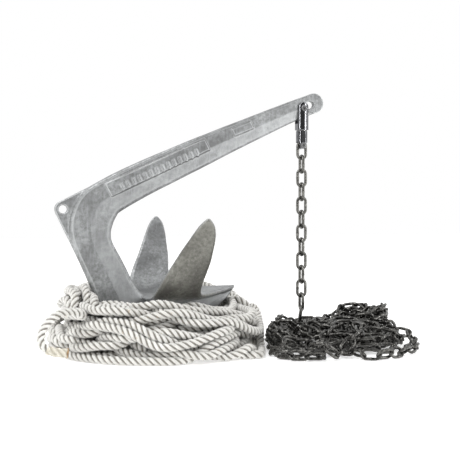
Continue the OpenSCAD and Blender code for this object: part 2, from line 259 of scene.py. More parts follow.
def evenly(points, step):
    """The same route with its points step apart, on a smooth curve through the given ones."""
    points = np.asarray(points, float)
    ends = np.concatenate([points[:1], points, points[-1:]])
    t = np.linspace(0, 1, CURVE_STEPS, endpoint=False)[:, None]
    a, b, c, d = (ends[i:len(ends) - 3 + i, None, :] for i in range(4))
    curve = 0.5 * (
        2 * b + (c - a) * t + (2 * a - 5 * b + 4 * c - d) * t ** 2 + (3 * b - a - 3 * c + d) * t ** 3
    )
    curve = np.concatenate([curve.reshape(-1, 3), points[-1:]])
    along = np.concatenate([[0], np.cumsum(np.linalg.norm(np.diff(curve, axis=0), axis=1))])
    places = np.linspace(0, along[-1], max(2, round(along[-1] / step) + 1))
    return np.stack([np.interp(places, along, curve[:, axis]) for axis in range(3)], 1)


def shown(name, mesh):
    """A smooth-shaded object of a mesh, put in the scene."""
    mesh.shade_smooth()
    made = bpy.data.objects.new(name, mesh)
    bpy.context.scene.collection.objects.link(made)
    return made


# ---- The rope
# Three-strand laid polyester, 17 mm thick and about 36 m long, dropped in turns round the foot of
# the anchor. Its far end is made fast to the chain, under both heaps.
MM = 0.001
ROPE_D = 17 * MM
ROPE_R = ROPE_D / 2
ROPE_LENGTH = 36.0
BIGHTS_LENGTH = 4.5               # what lies to and fro on top, at the back and the left
BIGHTS_FROM, BIGHTS_TO = math.radians(18), math.radians(200)
FRONT_TO = math.radians(318)
WANDERS = 1.05                    # how much longer a turn is for its wandering
HEAP_TOP = 104 * MM - ROPE_R      # where the chain swings over it
FRONT_TOP = 120 * MM - ROPE_R
BIGHTS_TOP = 138 * MM - ROPE_R
STEP_UP = 0.3                     # radians from one of these heights to the next
BIGHTS_PAST = 0.2                 # radians that the bights' height goes on after them
TURNS_RISE = 100 * MM             # from the first turn to the last, as they are dropped
TURNS_FROM = math.radians(-40)
TURNS_RADIUS = 0.168
IN_AND_OUT = (math.radians(50), 0.62)     # angle between two swerves, and their size as a share
UP_AND_DOWN = (math.radians(42), 0.050)   # the same, with their size in metres
WALK_SMOOTHING = 18
BIGHTS_START, BIGHTS_INNER, BIGHTS_OUTER = 0.175, 0.165, 0.197
BIGHTS_SPREAD = 0.35              # radians by which two turning points differ
BIGHTS_LIFT = 0.012               # over the last turn, and then for each metre of rope
BIGHTS_CLIMB = 0.007
LOBE_AT = math.radians(-55)
LOBE_WIDE = math.radians(24)
LOBE_OUT = 36 * MM
LOBE_HIGH = 0.06
LOBE_SLIDE = 0.45                 # how far the turns shift outwards there from first to last
LOBE_SINK = 0.02
LEAN_FROM = 0.07                  # height from which the heap leans in, and how much
LEAN = 0.6
ROPE_STEP = 10 * MM
ROPE_ROUNDS = 200
ROPE_GAP = ROPE_D * 0.97          # where it lies on itself it gives a little
HEAP_CENTRE = np.array([-0.070, 0.010])
HEAP_IN = 118 * MM + ROPE_R
HEAP_OUT = 225 * MM - ROPE_R
CROWN_CLEAR = 114 * MM            # nearer the middle stands the anchor's crown
# an upright plane parts the rope from the chain
PART_AT = np.array([0.140, -0.021])
PART_TURN = math.radians(-18)
PART_NORMAL = np.array([math.cos(PART_TURN), math.sin(PART_TURN)])
ROPE_ROOT = (0.112, -0.078, 0.010)
TAIL_SETTLES = 4                  # points of the end that still give way to the heap
TAIL = [
    (-0.250, -0.122, 0.096), (-0.280, -0.136, 0.098), (-0.306, -0.150, 0.084), (-0.322, -0.164, 0.066),
    (-0.326, -0.176, 0.048), (-0.319, -0.186, 0.036), (-0.300, -0.189, 0.032), (-0.281, -0.190, 0.030),
]


def wandering(count, step_angle, knot_angle, spread, rng):
    """A smooth random walk about 0 for each of count steps of the turns, with a knot each knot_angle."""
    knots = int(count * step_angle / knot_angle) + 4
    swerves = rng.normal(0, spread, knots)
    walk = np.interp(np.arange(count) * step_angle / knot_angle, np.arange(knots), swerves)
    for _ in range(WALK_SMOOTHING):
        walk[1:-1] = (walk[:-2] + walk[1:-1] + walk[2:]) / 3
    return walk


def heap_edge(angle, height):
    """How far the heap reaches: a lobe runs out to the right at the front, and it leans in as it rises."""
    off_lobe = np.mod(angle - LOBE_AT + math.pi, 2 * math.pi) - math.pi
    lobe = LOBE_OUT * np.exp(-(off_lobe / LOBE_WIDE) ** 2)
    low = np.clip(1 - height / LOBE_HIGH, 0, 1)
    return HEAP_OUT + lobe * low - np.clip(height - LEAN_FROM, 0, 1) * LEAN


def rope_start():
    """The rope as it is dropped: rising turns that wander in and out, bights at the back, and its end."""
    rng = np.random.default_rng(5)
    tail = evenly(TAIL, ROPE_STEP)
    in_turns = (ROPE_LENGTH - BIGHTS_LENGTH - len(tail) * ROPE_STEP) / WANDERS
    count = int(in_turns / ROPE_STEP)
    step_angle = ROPE_STEP / TURNS_RADIUS
    done = np.arange(count) / count
    angle = TURNS_FROM + np.arange(count) * step_angle
    # the first turns keep in at the lobe and the last ones slide down and out over it
    to_lobe = np.cos(angle - LOBE_AT)
    share = 0.5 + wandering(count, step_angle, *IN_AND_OUT, rng) + (done - 0.5) * LOBE_SLIDE * to_lobe
    share = np.clip(share, 0, 1)
    height = ROPE_R + TURNS_RISE * done + wandering(count, step_angle, *UP_AND_DOWN, rng)
    height -= LOBE_SINK * done * np.maximum(to_lobe, 0) ** 2
    height = np.maximum(height, ROPE_R)
    radius = HEAP_IN + (heap_edge(angle, height) - HEAP_IN) * share
    turns = np.stack([
        HEAP_CENTRE[0] + radius * np.cos(angle), HEAP_CENTRE[1] + radius * np.sin(angle), height,
    ], 1)
    top = ROPE_R + TURNS_RISE
    bights = []
    at = angle[-1] % (2 * math.pi)
    forward = 1
    turn_back = BIGHTS_TO
    radius = BIGHTS_START
    for k in range(int(BIGHTS_LENGTH / ROPE_STEP)):
        at += forward * ROPE_STEP / radius
        if forward > 0 and at > turn_back or forward < 0 and at < turn_back:
            forward = -forward
            turn_back = (BIGHTS_TO if forward > 0 else BIGHTS_FROM) + rng.normal(0, BIGHTS_SPREAD)
            radius = BIGHTS_INNER if radius == BIGHTS_OUTER else BIGHTS_OUTER
        bights.append((
            HEAP_CENTRE[0] + radius * math.cos(at), HEAP_CENTRE[1] + radius * math.sin(at),
            top + BIGHTS_LIFT + k * ROPE_STEP * BIGHTS_CLIMB,
        ))
    return evenly(np.concatenate([[ROPE_ROOT], turns, bights, tail]), ROPE_STEP)


def between(turn, start, end):
    """1 from the angle start to the angle end and 0 outside them, with a short slope at both."""
    return np.clip((turn - start) / STEP_UP, 0, 1) * np.clip((end - turn) / STEP_UP, 0, 1)


def in_rope_heap(points):
    """Keeps the rope in its ring round the anchor's foot, under its top and off the chain's side."""
    free = points[:-tail_count]
    apart = free[:, :2] - HEAP_CENTRE
    radius = np.linalg.norm(apart, axis=1)
    out = heap_edge(np.arctan2(apart[:, 1], apart[:, 0]), free[:, 2])
    wanted = np.clip(radius, CROWN_CLEAR, out)
    free[:, :2] = HEAP_CENTRE + apart * (wanted / radius)[:, None]
    round_heap = np.mod(np.arctan2(apart[:, 1], apart[:, 0]), 2 * math.pi)
    at_bights = between(round_heap, BIGHTS_FROM, BIGHTS_TO + BIGHTS_PAST)
    in_front = between(round_heap, BIGHTS_TO, FRONT_TO)
    rise = np.maximum((BIGHTS_TOP - HEAP_TOP) * at_bights, (FRONT_TOP - HEAP_TOP) * in_front)
    free[:, 2] = np.minimum(free[:, 2], HEAP_TOP + rise)
    past = (free[:, :2] - PART_AT) @ PART_NORMAL + ROPE_R
    free[:, :2] -= np.maximum(past, 0)[:, None] * PART_NORMAL


tail_count = len(evenly(TAIL, ROPE_STEP))
rope_first = rope_start()
rope_fixed = {0: np.array(ROPE_ROOT)}
for back in range(1, tail_count - TAIL_SETTLES + 1):
    rope_fixed[len(rope_first) - back] = rope_first[-back].copy()
rope_line = settle(
    rope_first, ROPE_STEP, ROPE_GAP, ROPE_R, in_rope_heap, rope_fixed,
    rounds=ROPE_ROUNDS,
    drop=0.12 * MM, bend=0.2, bent_over=False, clear=ROPE_R + 0.5 * MM,
)


def soothe(points, times):
    """Takes the last small kinks out of a route, its ends kept."""
    points = points.copy()
    for _ in range(times):
        points[1:-1] += ((points[:-2] + points[2:]) / 2 - points[1:-1]) * 0.5
    return points


rope_line = soothe(rope_line, 3)
rope_line[:, 2] = np.maximum(rope_line[:, 2], ROPE_R)


def along_frames(points):
    """Unit vectors along a route and across it, carried along without twist."""
    along = np.gradient(points, axis=0)
    along /= np.linalg.norm(along, axis=1, keepdims=True)
    side = np.cross(along[0], (0, 0, 1.0))
    side /= np.linalg.norm(side)
    sides = [side]
    for direction in along[1:]:
        side = side - direction * (side @ direction)
        side /= np.linalg.norm(side)
        sides.append(side)
    sides = np.array(sides)
    return along, sides, np.cross(along, sides)


# The three strands show as lobes that wind round the rope, one turn in a little over two
# diameters. Each ring of the mesh turns with them, so its edges follow the strands.
STRANDS = 3
LAY_LENGTH = 36 * MM
RING_STEP = 4.4 * MM
LOBE = [0.66, 0.93, 1.0, 0.93]    # from a groove, over a strand, towards the next groove


def laid_skin(name, line, ring_step, grow, capped):
    """The skin of laid rope along a line, with u in metres along it and v in turns round it, grown by
    grow. Returns the object and its rings' centres."""
    rings = evenly(line, ring_step)
    step = np.linalg.norm(rings[1] - rings[0])
    along, side, up = along_frames(rings)
    count = len(rings)
    # counted from the cut end, so that a sleeve there has its lobes where the rope has them
    turn = -np.arange(count)[::-1] * step / LAY_LENGTH * 2 * math.pi
    around = len(LOBE) * STRANDS
    angles = turn[:, None] + np.arange(around)[None, :] / around * 2 * math.pi
    radii = (np.tile(np.array(LOBE) * ROPE_R, STRANDS) + grow)[None, :, None]
    spokes = np.cos(angles)[..., None] * side[:, None] + np.sin(angles)[..., None] * up[:, None]
    skin = rings[:, None] + radii * spokes
    ring, spoke = np.meshgrid(np.arange(count - 1), np.arange(around), indexing="ij")
    after = (spoke + 1) % around
    corners = [
        ring * around + spoke, (ring + 1) * around + spoke,
        (ring + 1) * around + after, ring * around + after,
    ]
    faces = np.stack(corners, -1).reshape(-1, 4).tolist()
    if capped:
        faces += [list(range(around)), [(count - 1) * around + k for k in reversed(range(around))]]
    mesh = bpy.data.meshes.new(name)
    mesh.from_pydata(skin.reshape(-1, 3), [], faces)
    charted = ((ring, spoke), (ring + 1, spoke), (ring + 1, spoke + 1), (ring, spoke + 1))
    chart = np.stack([np.stack([r * step, s / around], -1) for r, s in charted], -2).reshape(-1)
    flat = np.zeros(2 * len(mesh.loops), np.float32)
    flat[:len(chart)] = chart
    mesh.uv_layers.new(name="strand_chart").data.foreach_set("uv", flat)
    return shown(name, mesh), rings


rope, rope_path = laid_skin("laid_rope", rope_line, RING_STEP, 0, True)


def laid_polyester():
    """Spun white polyester, laid in three strands: soft, matt and bright on its crowns, grey with
    painted shade in its grooves, its yarns fine ridges that run with the rope, and a few tan specks of
    dirt."""
    made, tree, shader = material("laid_spun_polyester", "#f6f5f1", 0, 0.72)
    shader.inputs["Sheen Weight"].default_value = 0.25
    shader.inputs["Sheen Roughness"].default_value = 0.5
    chart = node(tree, "ShaderNodeTexCoord").outputs["UV"]
    place = node(tree, "ShaderNodeTexCoord").outputs["Object"]
    parts = node(tree, "ShaderNodeSeparateXYZ", {0: chart})
    # 0 in a groove and 1 on the crown of a strand
    lobes = node(tree, "ShaderNodeMath", {0: parts.outputs["Y"], 1: float(STRANDS)}, operation="MULTIPLY")
    crown = node(tree, "ShaderNodeMath", {0: lobes.outputs[0], 1: 0.5}, operation="PINGPONG")
    # painted shade: the grooves between the strands are darkened in the base colour
    painted_groove_shade = node(tree, "ShaderNodeMapRange", {
        "Value": crown.outputs[0], "From Min": 0.03, "From Max": 0.26, "To Min": 1.0, "To Max": 0.0,
    })
    # yarns 1.5 mm apart that keep the rope's own direction across every strand
    yarns_round = math.pi * ROPE_D / (1.5 * MM)
    turned = node(tree, "ShaderNodeMath", {
        0: parts.outputs["X"], 1: 1 / LAY_LENGTH, 2: parts.outputs["Y"],
    }, operation="MULTIPLY_ADD")
    phase = node(tree, "ShaderNodeMath", {
        0: turned.outputs[0], 1: 2 * math.pi * round(yarns_round),
    }, operation="MULTIPLY")
    yarn = node(tree, "ShaderNodeMath", {0: phase.outputs[0]}, operation="SINE")
    fuzz = node(tree, "ShaderNodeTexNoise", {"Vector": place, "Scale": 1 / (1.2 * MM), "Detail": 3.0})
    rough_yarn = node(tree, "ShaderNodeMath", {
        0: fuzz.outputs["Fac"], 1: 1.6, 2: yarn.outputs[0],
    }, operation="MULTIPLY_ADD")
    tones = node(tree, "ShaderNodeTexNoise", {"Vector": place, "Scale": 1 / (35 * MM), "Detail": 2.0})
    worn = node(tree, "ShaderNodeMixRGB", {
        "Fac": tones.outputs["Fac"], "Color1": paint("#f3f2ef"), "Color2": paint("#dfddd7"),
    })
    shaded = node(tree, "ShaderNodeMixRGB", {
        "Fac": painted_groove_shade.outputs["Result"], "Color1": worn.outputs["Color"], "Color2": paint("#716c61"),
    })
    spots = node(tree, "ShaderNodeTexNoise", {"Vector": place, "Scale": 1 / (9 * MM), "Detail": 2.0})
    dirty = node(tree, "ShaderNodeMapRange", {
        "Value": spots.outputs["Fac"], "From Min": 0.7, "From Max": 0.78, "To Min": 0.0, "To Max": 0.55,
    })
    specked = node(tree, "ShaderNodeMixRGB", {
        "Fac": dirty.outputs["Result"], "Color1": shaded.outputs["Color"], "Color2": paint("#b39a72"),
    })
    tree.links.new(specked.outputs["Color"], shader.inputs["Base Color"])
    relief = node(tree, "ShaderNodeBump", {
        "Height": rough_yarn.outputs[0], "Strength": 0.7, "Distance": 0.3 * MM,
    })
    tree.links.new(relief.outputs["Normal"], shader.inputs["Normal"])
    return made


rope.data.materials.append(laid_polyester())
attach(rope, "anchor")
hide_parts("rope_heap", "rope_heap_upper", "rope_tail")

# ---- The rope's bare end
# It is cut with a hot knife, which melts its face to a hard tan disc, and the last 36 mm are held
# by a clear sleeve that was shrunk on with hot air and shows every strand.
SLEEVE_LENGTH = 36 * MM
SLEEVE_FILM = 0.45 * MM
steps_back = int(SLEEVE_LENGTH / RING_STEP) + 1
sleeve, _ = laid_skin("shrunk_sleeve", rope_path[-steps_back:], RING_STEP / 2, SLEEVE_FILM, False)
film, tree, shader = material("heat_shrunk_clear_polyolefin", "#e9e2cf", 0, 0.22)
# Clear film over white rope: hardly there but for a warm tint and its gloss
shader.inputs["Alpha"].default_value = 0.42
scuffs = node(tree, "ShaderNodeTexNoise", {
    "Vector": node(tree, "ShaderNodeTexCoord").outputs["Object"], "Scale": 1 / (3 * MM), "Detail": 3.0,
})
creases = node(tree, "ShaderNodeBump", {
    "Height": scuffs.outputs["Fac"], "Strength": 0.5, "Distance": 0.3 * MM,
})
tree.links.new(creases.outputs["Normal"], shader.inputs["Normal"])
gloss = node(tree, "ShaderNodeMapRange", {"Value": scuffs.outputs["Fac"], "To Min": 0.15, "To Max": 0.4})
tree.links.new(gloss.outputs["Result"], shader.inputs["Roughness"])
sleeve.data.materials.append(film)
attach(sleeve, "anchor")
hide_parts("rope_end_sleeve")


def melted_face():
    """The melted face as a low dome with a rolled rim, made of rings round the rope's last point."""
    out = rope_path[-1] - rope_path[-2]
    out /= np.linalg.norm(out)
    side = np.cross(out, (0, 0, 1.0))
    side /= np.linalg.norm(side)
    up = np.cross(side, out)
    # share of the rope's radius, and height over the cut
    rings = [
        (0.9, -1.5 * MM), (1.03, -0.2 * MM), (1.0, 1.0 * MM),
        (0.82, 1.5 * MM), (0.5, 0.9 * MM), (0.2, 0.8 * MM),
    ]
    around = 36
    points, faces = [], []
    for share, height in rings:
        for k in range(around):
            turn = 2 * math.pi * k / around
            # the three strands still show at the rim, and so do the runs of the melt
            wide = ROPE_R * share * (1 + 0.035 * math.cos(3 * turn) + 0.015 * math.sin(7 * turn))
            spoke = math.cos(turn) * side + math.sin(turn) * up
            points.append(rope_path[-1] + out * height + wide * spoke)
    for r in range(len(rings) - 1):
        for k in range(around):
            after = (k + 1) % around
            faces.append([
                r * around + k, r * around + after, (r + 1) * around + after, (r + 1) * around + k,
            ])
    faces.append([(len(rings) - 1) * around + k for k in range(around)])
    faces.append(list(reversed(range(around))))
    mesh = bpy.data.meshes.new("melted_rope_face")
    mesh.from_pydata([tuple(p) for p in points], [], faces)
    return shown("melted_rope_face", mesh)


melt = melted_face()
# Polyester that melted and set: hard, half glossy, tan in the middle and scorched brown in spots
melted, tree, shader = material("hot_cut_melted_polyester", "#a5845a", 0, 0.35)
char = node(tree, "ShaderNodeTexNoise", {
    "Vector": node(tree, "ShaderNodeTexCoord").outputs["Object"], "Scale": 1 / (4 * MM), "Detail": 4.0,
})
scorch = node(tree, "ShaderNodeMapRange", {"Value": char.outputs["Fac"], "From Min": 0.4, "From Max": 0.7})
browned = node(tree, "ShaderNodeMixRGB", {
    "Fac": scorch.outputs["Result"], "Color1": paint("#b08e62"), "Color2": paint("#4a3522"),
})
tree.links.new(browned.outputs["Color"], shader.inputs["Base Color"])
lumps = node(tree, "ShaderNodeBump", {
    "Height": char.outputs["Fac"], "Strength": 0.6, "Distance": 0.5 * MM,
})
tree.links.new(lumps.outputs["Normal"], shader.inputs["Normal"])
melt.data.materials.append(melted)
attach(melt, "anchor")

# ---- The spare chain
# About 10 m of 6 mm chain, let down in a heap beside the rope. Each link is bent from round bar
# and butt welded in the middle of one side, then the chain is galvanised.
WIRE_R = 3 * MM
LINK_GAP = 12 * MM
LINK_IN = 29 * MM
ARC_R = LINK_GAP / 2 + WIRE_R
ARC_AT = (LINK_IN - LINK_GAP) / 2
CHAIN_LENGTH = 10.0
CHAIN_ROUNDS = 300
CHAIN_GAP = 17.5 * MM             # between the joints and middles of two links that touch
CHAIN_LOW = 11.3 * MM             # a leaning link's middle, over the ground
CHAIN_CLEAR = 12 * MM
HANG = (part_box("chain_link_12")[0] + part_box("chain_link_12")[1]) / 2
CHAIN_TOP = HANG[2] - LINK_IN / 2
CHAIN_END = (0.134, -0.086, 0.012)
PILE_CENTRE = np.array([0.245, -0.090])
PILE_OUT = 182 * MM
PILE_TOP = 51 * MM
ROPE_CLEAR = 14 * MM
UNDER_LINK_OUT, UNDER_LINK_TOP = 40 * MM, 44 * MM   # the hollow under the last hanging link
LAID_FROM = 0.012                 # height of the first loop as it is let down
LAID_RISE, HUMP_RISE = 0.055, 0.075
LOOP_LEAST, LOOP_MORE = 0.055, 0.085      # radius of a loop, and how much more it may be
LOOP_FLAT = 0.9                   # a loop's depth, as a share of its width
LOOP_UNEVEN = 0.02                # how far a loop is out of round, and out of level
LOOP_TILT = 0.006
DRIFT_X, DRIFT_Y = 0.075, 0.055   # how far the loops' middle strays
HUMP_FROM, HUMP_TO = 0.66, 0.86   # the share of the chain that is let down on the hump
HUMP_LOOP = 0.032
HUMP_CENTRE = np.array([0.362, -0.038])
HUMP_OUT = 50 * MM
HUMP_HIGHER = 26 * MM
HUMP_FOOT = 1.6                   # the hump has sunk to the pile's top at this many times HUMP_OUT
LINK_LEAN = math.radians(45)
LEAN_SPREAD = 0.16


def chain_start():
    """The joints between links as the chain is let down: from under the hanging chain, round and
    round. The loops swell, drift and tilt at rates that never fall in step, so no two lie alike."""
    places = []
    angle = 0.0
    length = 0.0
    step = 0.25 * LINK_IN
    while length < CHAIN_LENGTH:
        share = length / CHAIN_LENGTH
        wide = LOOP_LEAST + LOOP_MORE * abs(math.sin(2.1 * share * math.pi + 0.4))
        loop_x = PILE_CENTRE[0] + DRIFT_X * math.sin(5.3 * share * math.pi)
        loop_y = PILE_CENTRE[1] + DRIFT_Y * math.cos(7.1 * share * math.pi)
        rise = LAID_RISE
        if HUMP_FROM < share < HUMP_TO:
            # a few small turns heaped on the right
            wide = HUMP_LOOP
            loop_x, loop_y = HUMP_CENTRE
            rise = HUMP_RISE
        places.append((
            loop_x + (wide + LOOP_UNEVEN * math.sin(1.7 * angle)) * math.cos(angle),
            loop_y + (wide * LOOP_FLAT + LOOP_UNEVEN * math.cos(2.3 * angle)) * math.sin(angle),
            LAID_FROM + rise * share + LOOP_TILT * math.sin(3.1 * angle),
        ))
        angle += step / wide
        length += math.dist(places[-1], places[-2]) if len(places) > 1 else step
    top = [(HANG[0], HANG[1], CHAIN_TOP), (HANG[0], HANG[1], CHAIN_TOP - LINK_IN)]
    return evenly(np.array(top + places + [CHAIN_END]), LINK_IN)


def in_chain_pile(points):
    """Keeps the spare chain in its round heap, low but for its hump, and off the rope."""
    flat = points[2:-1, :2]
    apart = flat - PILE_CENTRE
    radius = np.linalg.norm(apart, axis=1, keepdims=True)
    flat[:] = PILE_CENTRE + apart / np.maximum(radius, 1e-6) * np.minimum(radius, PILE_OUT)
    past = ROPE_CLEAR - (flat - PART_AT) @ PART_NORMAL
    flat += np.maximum(past, 0)[:, None] * PART_NORMAL
    near_hump = np.clip(HUMP_FOOT - np.linalg.norm(flat - HUMP_CENTRE, axis=1) / HUMP_OUT, 0, 1)
    under_link = np.linalg.norm(flat - HANG[:2], axis=1) < UNDER_LINK_OUT
    highest = np.where(under_link, UNDER_LINK_TOP, PILE_TOP + HUMP_HIGHER * near_hump)
    points[2:-1, 2] = np.minimum(points[2:-1, 2], highest)


chain_first = chain_start()
chain_fixed = {k: chain_first[k].copy() for k in (0, 1, len(chain_first) - 1)}
chain_joints = settle(
    chain_first, LINK_IN, CHAIN_GAP, CHAIN_LOW, in_chain_pile, chain_fixed,
    rounds=CHAIN_ROUNDS,
    drop=0.3 * MM, bend=0.04, bent_over=True, clear=CHAIN_CLEAR,
)


def link_shape(arc_steps, sides):
    """One link about the origin, its length along Z and its face along Y: points and faces."""
    centres, outwards = [], []
    for end in (1, -1):
        for k in range(arc_steps + 1):
            turn = math.pi * k / arc_steps
            out = Vector((math.cos(turn) * end, 0, math.sin(turn) * end))
            centres.append(out * ARC_R + Vector((0, 0, ARC_AT * end)))
            outwards.append(out)
        for share in (0.36, 0.44, 0.5, 0.56, 0.64):
            centres.append(Vector((-ARC_R * end, 0, ARC_AT * end * (1 - 2 * share))))
            outwards.append(Vector((-end, 0, 0)))
    # the upset bead of the weld, in the middle of one straight side
    swell = {arc_steps + 2: 1.09, arc_steps + 3: 1.16, arc_steps + 4: 1.07}
    points = []
    for k, (centre, out) in enumerate(zip(centres, outwards)):
        for s in range(sides):
            turn = 2 * math.pi * s / sides
            round_it = out * math.cos(turn) + Vector((0, 1, 0)) * math.sin(turn)
            points.append(centre + round_it * WIRE_R * swell.get(k, 1.0))
    n = len(centres)
    faces = [
        (a * sides + s, b * sides + s, b * sides + (s + 1) % sides, a * sides + (s + 1) % sides)
        for a, b in ((ring, (ring + 1) % n) for ring in range(n)) for s in range(sides)
    ]
    return np.array(points), faces


def chain_mesh(name, joints, arc_steps, sides):
    """A chain of links as one mesh. Links lie leaning by turns to one side and to the other."""
    unit, faces = link_shape(arc_steps, sides)
    rng = np.random.default_rng(7)
    points, all_faces = [], []
    for k in range(len(joints) - 1):
        z = joints[k + 1] - joints[k]
        z = z / np.linalg.norm(z)
        across = np.cross((0, 0, 1.0), z)
        # an upright link has no level direction of its own, so it takes X
        upright = np.linalg.norm(across) <= 0.05
        across = np.array([1.0, 0, 0]) if upright else across / np.linalg.norm(across)
        across = across - z * (across @ z)
        across /= np.linalg.norm(across)
        up = np.cross(z, across)
        lean = 0 if k == 0 else (LINK_LEAN if k % 2 else -LINK_LEAN) + rng.normal(0, LEAN_SPREAD)
        x = across * math.cos(lean) + up * math.sin(lean)
        points.append((joints[k] + joints[k + 1]) / 2 + unit @ np.stack([x, np.cross(z, x), z]))
        all_faces += [tuple(i + k * len(unit) for i in f) for f in faces]
    mesh = bpy.data.meshes.new(name)
    mesh.from_pydata(np.concatenate(points), [], all_faces)
    return shown(name, mesh)


def galvanised_chain(name, dark, light):
    """Welded mild steel chain, tumbled and hot galvanised, then left in the air: a dark grey with
    lighter zinc where links rub, blotches a few millimetres wide and a faint grain."""
    made, tree, shader = material(name, dark, 0.9, 0.35)
    place = node(tree, "ShaderNodeTexCoord").outputs["Object"]
    blotches = node(tree, "ShaderNodeTexNoise", {
        "Vector": place, "Scale": 1 / (9 * MM), "Detail": 4.0, "Roughness": 0.6,
    })
    spread = node(tree, "ShaderNodeMapRange", {
        "Value": blotches.outputs["Fac"], "From Min": 0.35, "From Max": 0.65,
    })
    zinc = node(tree, "ShaderNodeMixRGB", {
        "Fac": spread.outputs["Result"], "Color1": paint(dark), "Color2": paint(light),
    })
    wear_and_painted_highlight = node(tree, "ShaderNodeTexNoise", {"Vector": place, "Scale": 1 / (2.5 * MM), "Detail": 3.0})
    bright = node(tree, "ShaderNodeMapRange", {
        "Value": wear_and_painted_highlight.outputs["Fac"], "From Min": 0.58, "From Max": 0.72, "To Min": 0.0, "To Max": 0.6,
    })
    worn = node(tree, "ShaderNodeMixRGB", {
        "Fac": bright.outputs["Result"], "Color1": zinc.outputs["Color"], "Color2": paint("#a3a29d"),
    })
    tree.links.new(worn.outputs["Color"], shader.inputs["Base Color"])
    dull = node(tree, "ShaderNodeMapRange", {
        "Value": blotches.outputs["Fac"], "To Min": 0.14, "To Max": 0.42,
    })
    tree.links.new(dull.outputs["Result"], shader.inputs["Roughness"])
    grain = node(tree, "ShaderNodeBump", {
        "Height": wear_and_painted_highlight.outputs["Fac"], "Strength": 0.5, "Distance": 0.25 * MM,
    })
    tree.links.new(grain.outputs["Normal"], shader.inputs["Normal"])
    return made


spare_chain = chain_mesh("spare_chain", chain_joints, arc_steps=8, sides=8)
# what lies in the heap gets a darker copy of the same chain steel: painted shade for the shadow deep in
# the pile
spare_chain.data.materials.append(galvanised_chain("heap_painted_shade_galvanised_chain_steel", "#2c2b2a", "#62615e"))
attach(spare_chain, "anchor")
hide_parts("chain_pile", "chain_pile_top")

# ---- The hanging chain
# Twelve links of the same chain hang straight down from the swivel, each turned a quarter from
# the one above, and every one is a piece of its own that swings in the last.
HANGING = 12
link_points, link_faces = link_shape(arc_steps=14, sides=14)
chain_steel = galvanised_chain("tumbled_galvanised_chain_steel", "#464542", "#7b7a76")
for k in range(1, HANGING + 1):
    low, high = (np.array(corner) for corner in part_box(f"chain_link_{k:02d}"))
    quarter = math.pi / 2 if k % 2 == 0 else 0
    turned = link_points.copy()
    turned[:, 0] = link_points[:, 0] * math.cos(quarter) - link_points[:, 1] * math.sin(quarter)
    turned[:, 1] = link_points[:, 0] * math.sin(quarter) + link_points[:, 1] * math.cos(quarter)
    mesh = bpy.data.meshes.new(f"hanging_link_{k:02d}")
    mesh.from_pydata(turned + (low + high) / 2, [], link_faces)
    link = shown(f"hanging_link_{k:02d}", mesh)
    link.data.materials.append(chain_steel)
    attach(link, f"link_{k:02d}")
    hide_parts(f"chain_link_{k:02d}")

# ---- The anchor casting
# Shank, bend, crown, rib and three flukes, poured in one piece in a sand mould and hot-dip
# galvanised. Sand and zinc leave every edge soft and every face a little uneven.
CAST_VOXEL = 1.3 * MM
CAST_SMOOTHING = 2
CAST_WAVES = ((60 * MM, 0.35 * MM), (14 * MM, 0.16 * MM))   # size of the waves, and their height
CAST_TRIANGLES = 185000


def with_modifiers(piece):
    """The mesh that a piece's modifiers give, put in its place."""
    done = bpy.data.meshes.new_from_object(piece.evaluated_get(bpy.context.evaluated_depsgraph_get()))
    piece.modifiers.clear()
    piece.data = done
    done.shade_smooth()


def softened(cad_node, name, voxel, smoothing):
    """A CAD node's shape with every edge a little rounded, as one even mesh."""
    shape = welded(cad_node)
    mesh = bpy.data.meshes.new(name)
    shape.to_mesh(mesh)
    shape.free()
    piece = shown(name, mesh)
    remesh = piece.modifiers.new("even_mesh", "REMESH")
    remesh.mode = "VOXEL"
    remesh.voxel_size = voxel
    rounding = piece.modifiers.new("soft_edges", "SMOOTH")
    rounding.factor = 0.5
    rounding.iterations = smoothing
    with_modifiers(piece)
    return piece


cast_voxel = CAST_VOXEL
casting = softened("anchor_casting", "galvanised_anchor", cast_voxel, CAST_SMOOTHING)
skin = casting.data
places = np.zeros(3 * len(skin.vertices), np.float32)
normals = np.zeros(3 * len(skin.vertices), np.float32)
skin.vertices.foreach_get("co", places)
skin.vertex_normals.foreach_get("vector", normals)
places, normals = places.reshape(-1, 3), normals.reshape(-1, 3)
for size, height in CAST_WAVES:
    waves = np.array([noise.noise(Vector(p)) for p in places / size])
    places += normals * (waves * height)[:, None]
skin.vertices.foreach_set("co", places.reshape(-1))
if len(skin.polygons) * 2 > CAST_TRIANGLES:
    thinning = casting.modifiers.new("thinning", "DECIMATE")
    thinning.ratio = CAST_TRIANGLES / (len(skin.polygons) * 2)
    with_modifiers(casting)


